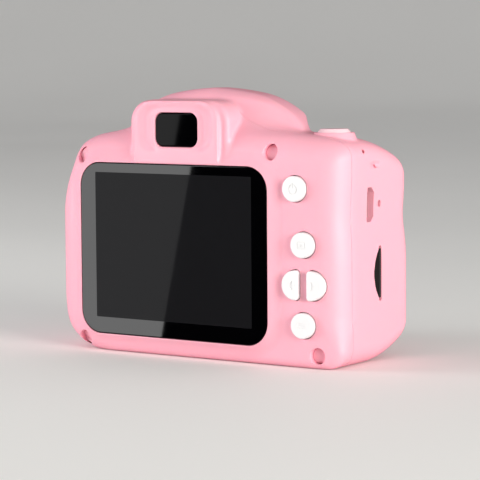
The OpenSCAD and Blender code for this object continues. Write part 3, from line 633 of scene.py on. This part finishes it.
# ---- windows -------------------------------------------------------------------------
def plate(name, centre, size, r, y0, y1, edge, inner=None, tilt=0.0, steps=12):
    """A window with rounded corners and a bevelled rear edge.
    Inner is (centre, size, radius) of a second outline on its face, and tilt turns that face towards +X."""
    def loop(at, w, h, rr, y):
        points = []
        for sx, sz, start in ((1, 1, 0), (-1, 1, 90), (-1, -1, 180), (1, -1, 270)):
            for k in range(steps + 1):
                a = math.radians(start + 90 * k / steps)
                x = at[0] + sx * (w / 2 - rr) + rr * math.cos(a)
                lean = math.tan(tilt) * (x - centre[0]) if y < y1 else 0
                points.append((x, y + lean, at[1] + sz * (h / 2 - rr) + rr * math.sin(a)))
        return points

    w, h = size
    rows = [loop(centre, w, h, r, y1), loop(centre, w, h, r, y0 + edge)]
    for a in (30, 60, 90):
        e = edge * (1 - math.cos(math.radians(a)))
        rows.append(loop(centre, w - 2 * e, h - 2 * e, r - e, y0 + edge * (1 - math.sin(math.radians(a)))))
    flat = edge + 0.06
    rows.append(loop(centre, w - 2 * flat, h - 2 * flat, r - flat, y0))
    if inner:
        rows.append(loop(inner[0], *inner[1], inner[2], y0))
    bm = bmesh.new()
    made = [[bm.verts.new(Vector((x, y + SCREEN_Y, z)) * MM) for x, y, z in row] for row in rows]
    n = len(made[0])
    for one, two in zip(made, made[1:]):
        for k in range(n):
            bm.faces.new((one[k], one[(k + 1) % n], two[(k + 1) % n], two[k]))
    face = bm.faces.new(made[-1])
    face.material_index = 1 if inner else 0
    bm.faces.new(made[0][::-1])
    return from_bmesh(name, bm)


screen = plate("screen_glass", (glass[0], glass[2]), (GLASS_W, GLASS_H), GLASS_R, 0, GLASS_T, 0.25,
               inner=(PICTURE_AT, PICTURE_SIZE, 0.25))
screen.data.materials.append(BEZEL)
screen.data.materials.append(PICTURE)
finish_piece(screen, None, "camera_body", "screen_glass", "screen_window")

eye_size = finder_hi[0] - finder_lo[0], finder_hi[2] - finder_lo[2]
eye = plate("viewfinder_glass", (finder[0], finder[2]), eye_size, 2.0, 0.25, 1.9, 0.3,
            tilt=math.radians(0.61))
finish_piece(eye, EYE, "camera_body", "screen_glass", "viewfinder_window")


# ---- plugs over the case screws --------------------------------------------------------
plug_end = WELL_DEPTH - SCREW_HEAD - 0.05


def plug_field(px, pz):
    """A plug whose face follows the case a little below its surface."""
    def field(x, y, z):
        wall, form = disc(x, z, px, pz, WELL_R - 0.03), case_body(x, y, z)
        face = np.minimum(form + PLUG_SUNK, np.maximum(form + 0.5, plug_end - 0.25 - y))
        return np.maximum(round_max(wall, face, 0.15), y - plug_end)
    return field


for k, (px, pz) in enumerate(WELLS):
    plug = field_piece(f"screw_plug_{k + 1}", plug_field(px, pz), (px - 2.03, PANEL + 0.07, pz - 2.03),
                       (px + 2.05, plug_end + 0.3, pz + 2.05), 0.13)
    finish_piece(plug, PINK, "camera_body", "pink_plastic", *(["screw_plugs"] if k == 0 else []))


# ---- rear buttons --------------------------------------------------------------------
def mark_power(u, v):
    ring = np.maximum(np.abs(np.hypot(u, v + 0.1) - 1.0) - 0.14, -np.maximum(np.abs(u) - 0.4, -v))
    return np.minimum(ring, rect(u, v, 0, 0.75, 0.13, 0.6, 0.1))


def mark_mode(u, v):
    frame_line = np.abs(rect(u, v, 0, 0, 0.95, 0.68, 0.2)) - 0.12
    return np.minimum(frame_line, disc(u, v, 0, 0, 0.26))


def mark_menu(u, v):
    bars = [rect(u, v, 0, s, 0.9, 0.12, 0.1) for s in (-0.5, 0, 0.5)]
    return np.minimum.reduce(bars)


def mark_arrow(side):
    def field(u, v):
        u = u * side
        return np.maximum(np.abs(v) * 0.9 + u - 0.45, -0.45 - u)
    return field


def button_field(shape, mark, centre):
    """A rear button: a domed face with its sign sunk in, a skirt behind the panel and a stem."""
    def field(x, y, z):
        u, v = x - centre[0], z - centre[1]
        edge = shape(x, z)
        domed = BUTTON_FACE - y + 0.1 * np.clip(-edge / BUTTON_R, 0, 1) ** 0.5 - 0.1
        d = round_max(round_max(edge, domed, 0.4), y - 3.1, 0.05)
        d = soft_max(d, -np.maximum(mark(u, v), y - BUTTON_FACE - 0.12), 0.06)
        skirt = np.maximum(edge - SKIRT, slab(y, 3.1, 3.8))
        stem = np.maximum(np.hypot(u, v) - 1.3, slab(y, 3.7, 4.25))
        return np.minimum(np.minimum(d, skirt), stem)
    return field


def round_shape(at):
    return lambda x, z: disc(x, z, at[0], at[2], BUTTON_R)


buttons = [("power", round_shape(power), mark_power, (power[0], power[2])),
           ("mode", round_shape(mode), mark_mode, (mode[0], mode[2])),
           ("menu", round_shape(menu), mark_menu, (menu[0], menu[2])),
           ("left", lambda x, z: half_outline(x, z, 1), mark_arrow(-1), (LEFT_AT[0] - 0.9, LEFT_AT[1])),
           ("right", lambda x, z: half_outline(x, z, -1), mark_arrow(1), (RIGHT_AT[0] + 0.9, RIGHT_AT[1]))]
for key, shape, mark, at in buttons:
    lo, hi = limits(key + "_button")
    cap = field_piece(key + "_button_cap", button_field(shape, mark, at),
                      (lo[0] - 0.33, depth_of(lo[1]) - 0.31, lo[2] - 0.33),
                      (hi[0] + 0.35, 4.6, hi[2] + 0.35), 0.125, sharp=40)
    finish_piece(cap, WHITE, key + "_button", "white_buttons", key + "_button")

pad_hole = SHUTTER_R + BUTTON_GAP
pad_profile = [(pad_hole, 48.3), (5.0, 48.3), (PAD_FOOT_R, PAD_FOOT), (PAD_TOP_R, PAD_TOP, 0.2),
               (pad_hole, PAD_TOP, 0.08)]
pad = turned("shutter_pad", fillet(pad_profile), shutter, axis="Z")
finish_piece(pad, PINK, "camera_body", "pink_plastic")

cap_profile = [(0, 46.6), (1.5, 46.6, 0.2), (1.5, 47.2), (4.65, 47.2, 0.1), (4.65, 48.1, 0.1),
               (SHUTTER_R, 48.1), (SHUTTER_R, SHUTTER_TOP - 0.75, 0.1),
               (SHUTTER_R - 0.65, SHUTTER_TOP, 0.15), (0, SHUTTER_TOP)]
shutter_cap = turned("shutter_button_cap", fillet(cap_profile), shutter, axis="Z")
finish_piece(shutter_cap, CAP, "shutter_button", "shutter_plastic", "shutter_button")

# ---- lens ----------------------------------------------------------------------------
COLLAR, RING_FRONT = FRONT + 2.1, 44.5
LEDGE = RING_FRONT - 5


def ribs(r, h, a):
    """Shallow grip flutes round the barrel."""
    inside_band = step(h, 33.2, 33.8) * step(h, 40.2, 39.6)
    return -0.35 * float(inside_band) * (0.5 - 0.5 * math.cos(60 * a)) if r > 20 else 0.0


wall_steps = [(22.2 - 0.0916 * (h - 32), h) for h in (33.1, 33.5, 34.0, 36.6, 39.4, 39.9, 40.3)]
barrel = [(18.2, FRONT + 0.1), (19.7, FRONT + 0.1), (19.7, COLLAR + 0.05), (22.4, COLLAR + 0.05, 0.3),
          (22.2, COLLAR + 1.2, 0.4), *wall_steps, (21.2, RING_FRONT - 1.1, 0.5), (19.2, RING_FRONT - 1.1),
          (19.2, LEDGE), (16.6, LEDGE), (16.6, LEDGE - 1.1), (18.2, LEDGE - 1.1)]
body = turned("lens_barrel_body", fillet(barrel), lens, steps=360, ripple=ribs)
finish_piece(body, PINK, "camera_body", "pink_plastic", "lens_barrel")

trim = [(15.8, LEDGE + 1.5, 0.1), (19, LEDGE + 1.5, 0.1), (19, RING_FRONT - 1.05),
        (20.9, RING_FRONT - 1.05, 0.1), (20.9, RING_FRONT - 0.5, 0.4), (20.3, RING_FRONT, 0.4),
        (17.6, RING_FRONT, 0.3)]
ring = turned("lens_trim", fillet(trim), lens, steps=128)
finish_piece(ring, TRIM, "camera_body", "white_trim", "lens_trim_ring")

cover = turned("lens_cover", [(0, LEDGE), (5.2, LEDGE), (19, LEDGE), (19, LEDGE + 1.5), (5.2, LEDGE + 1.5),
                              (0, LEDGE + 1.5)], lens, steps=128)
cover.data.materials.append(COVER)
cover.data.materials.append(CLEAR)
for face in cover.data.polygons:
    across = math.hypot(face.center.x / MM - lens[0], face.center.z / MM - lens[2])
    face.material_index = 1 if across < 5 else 0
finish_piece(cover, None, "camera_body", "lens_cover_glass", "lens_window")

flash_profile = [(0, 22.6), (3.1, 22.6, 0.2), (3.1, 24.4, 0.5), (0, 24.4)]
light_cover = turned("flash_cover", fillet(flash_profile), flash, steps=64)
finish_piece(light_cover, FLASH, "camera_body", "flash_lens", "flash_window")

# ---- finishes of the parts that stay as the CAD has them -------------------------------
finishes = {
    "screw_steel": material("screw_steel", srgb(150, 150, 155), rough=0.4, grain=1500, Metallic=0.6),
    "foam": material("foam", srgb(38, 38, 40), rough=0.95, grain=1200, bump=0.15, rough_swing=0.03),
    "lcd_glass": material("lcd_glass", srgb(24, 28, 32), rough=0.1, rough_swing=0.02, bump=0.0005),
    "white_frame": material("white_frame", srgb(232, 232, 228), rough=0.5, shade=0.95),
    "orange_film": material("orange_film", srgb(214, 128, 44), rough=0.28, shade=0.82, grain=500, bump=0.01),
    "circuit_board": material("circuit_board", srgb(18, 84, 52), rough=0.38, shade=0.7, grain=1600,
                              bump=0.02),
    "chip_epoxy": material("chip_epoxy", srgb(28, 28, 30), rough=0.6, grain=2400, bump=0.03),
    "plated_steel": material("plated_steel", srgb(190, 190, 192), rough=0.25, grain=1400, Metallic=1.0),
    "ivory_connector": material("ivory_connector", srgb(226, 218, 198), rough=0.45),
    "tinned_wire": material("tinned_wire", srgb(200, 200, 204), rough=0.3, grain=2000, Metallic=1.0),
    "yellow_wire": material("yellow_wire", srgb(226, 190, 60), rough=0.5),
    "led_phosphor": material("led_phosphor", srgb(236, 220, 120), rough=0.55, shade=0.9),
    "black_plastic": material("black_plastic", srgb(24, 24, 25), rough=0.45),
    "optical_glass": material("optical_glass", srgb(225, 235, 250), rough=0.02, rough_swing=0.005,
                              bump=0.0002, Transmission_Weight=1.0, IOR=1.52),
    "battery_foil": material("battery_foil", srgb(188, 190, 194), rough=0.35, grain=260, bump=0.12,
                             Metallic=0.7),
    "red_wire": material("red_wire", srgb(190, 28, 26), rough=0.45),
    "black_wire": material("black_wire", srgb(22, 22, 23), rough=0.45),
    "speaker_can": material("speaker_can", srgb(120, 122, 126), rough=0.35, Metallic=1.0),
    "pink_plastic": PINK, "white_buttons": WHITE, "shutter_plastic": CAP, "screen_glass": BEZEL,
    "lens_cover_glass": COVER, "white_trim": TRIM, "flash_lens": FLASH,
}
for entry in frame["record"]["materials"]:
    for node in entry.get("nodes", []):
        kept = frame["nodes"].get(node)
        if kept is None or kept.hide_render:
            continue
        kept.data.materials.clear()
        kept.data.materials.append(finishes[entry["slot"]])

# ---- stage, light and camera -----------------------------------------------------------
scene = bpy.context.scene
scene.view_settings.view_transform = "Standard"
TARGET = Vector((glass[0] + 18.897, SCREEN_Y, glass[2] + 3.588)) * MM
AZIMUTH, ELEVATION, ROLL = 34.0, 5.123, -0.387
DISTANCE = 0.46191
SENSOR, FRAME_SIDE, FOCAL_SIDE = 36.0, 480, 2072.8


def direction(azimuth, elevation):
    """Unit vector from the object towards a place seen at that azimuth and elevation."""
    a, e = math.radians(azimuth), math.radians(elevation)
    return Vector((math.sin(a) * math.cos(e), -math.cos(a) * math.cos(e), math.sin(e)))


camera_data = bpy.data.cameras.new("camera")
camera_data.sensor_width = SENSOR
camera_data.lens = SENSOR * FOCAL_SIDE / FRAME_SIDE
camera_data.clip_start, camera_data.clip_end = 0.02, 20
camera = bpy.data.objects.new("camera", camera_data)
scene.collection.objects.link(camera)
camera.location = TARGET + direction(AZIMUTH, ELEVATION) * DISTANCE
facing = (-direction(AZIMUTH, ELEVATION)).to_track_quat("-Z", "Y").to_matrix()
camera.rotation_euler = (facing @ Matrix.Rotation(math.radians(ROLL), 3, "Z")).to_euler()
scene.camera = camera


def area_light(name, location, target, size, size_y, watts, colour=(1, 1, 1), turn=None):
    """A rectangle of light that the camera does not see, facing the target unless turn is given."""
    data = bpy.data.lights.new(name, "AREA")
    data.shape = "RECTANGLE"
    data.size, data.size_y = size, size_y
    data.energy = watts
    data.color = colour
    obj = bpy.data.objects.new(name, data)
    scene.collection.objects.link(obj)
    obj.location = location
    towards = Vector(target) - Vector(location)
    obj.rotation_euler = (turn or towards.to_track_quat("-Z", "Y")).to_euler()
    obj.visible_camera = False
    return obj


CENTRE = Vector((0, 0, 0.03))                # what the lights face, in metres
area_light("key_light", CENTRE + direction(72, 8) * 0.75, CENTRE, size=0.35, size_y=0.35, watts=6.0,
           colour=(1.0, 0.98, 0.92))
fill = area_light("fill_light", CENTRE + direction(-62, 6) * 0.7, CENTRE, size=0.3, size_y=0.3, watts=2.9)
fill.visible_glossy = False

# Panel whose edge is mirrored in the screen as the border of the glare: the edge goes through the
# mirrored rays of two points on the glass, given as shares of its width from the left
GLARE_DISTANCE, GLARE_TOP, GLARE_FOOT = 0.42, 0.61, 0.44


def mirrored(share, height):
    at = Vector((glass_lo[0] + share * GLASS_W, SCREEN_Y, glass_lo[2] + height * GLASS_H)) * MM
    ray = (at - camera.location).normalized()
    return at + Vector((ray.x, -ray.y, ray.z)) * GLARE_DISTANCE


edge_top, edge_foot = mirrored(GLARE_TOP, 1.0), mirrored(GLARE_FOOT, 0.0)
up = (edge_top - edge_foot).normalized()
back = Vector((glass[0] * MM, SCREEN_Y * MM, glass[2] * MM)) - (edge_top + edge_foot) / 2
back = (back - up * back.dot(up)).normalized()
side = up.cross(back)
PANEL_W, PANEL_H = 0.30, 0.36
away = 1 if (side.x < 0) else -1
panel_at = (edge_top + edge_foot) / 2 + side * away * PANEL_W / 2 + up * 0.04
turn = Matrix((-side, up, -back)).transposed().to_quaternion()
area_light("glare_panel", panel_at, CENTRE, PANEL_W, PANEL_H, watts=1.07, turn=turn)

world = bpy.data.worlds.new("studio")
scene.world = world
world.use_nodes = True
world.node_tree.nodes["Background"].inputs["Color"].default_value = (1, 1, 1, 1)
world.node_tree.nodes["Background"].inputs["Strength"].default_value = 0.49
world.cycles_visibility.glossy = False

FLOOR_R, BOWL_R, FLOOR_Z = 1.6, 1.2, cad_box[0][2] - 1e-5
bowl = [(0.0, 0.0), (FLOOR_R, 0.0)]
bowl += [(FLOOR_R + BOWL_R * math.sin(math.radians(a)), BOWL_R * (1 - math.cos(math.radians(a))))
         for a in range(10, 81, 10)]
bm = bmesh.new()
SIDES = 96
hub = bm.verts.new((0, 0, FLOOR_Z))
turns = [2 * math.pi * k / SIDES for k in range(SIDES)]
rows = [[bm.verts.new((r * math.cos(a), r * math.sin(a), FLOOR_Z + h)) for a in turns] for r, h in bowl[1:]]
for k in range(SIDES):
    bm.faces.new((hub, rows[0][k], rows[0][(k + 1) % SIDES]))
    for one, two in zip(rows, rows[1:]):
        bm.faces.new((one[k], two[k], two[(k + 1) % SIDES], one[(k + 1) % SIDES]))
floor = from_bmesh("floor", bm, sharp=60)
paint = material("floor_paint", srgb(245, 244, 242), rough=0.7, shade=0.98, grain=60, bump=0.02)
floor.data.materials.append(paint)
floor.visible_glossy = False
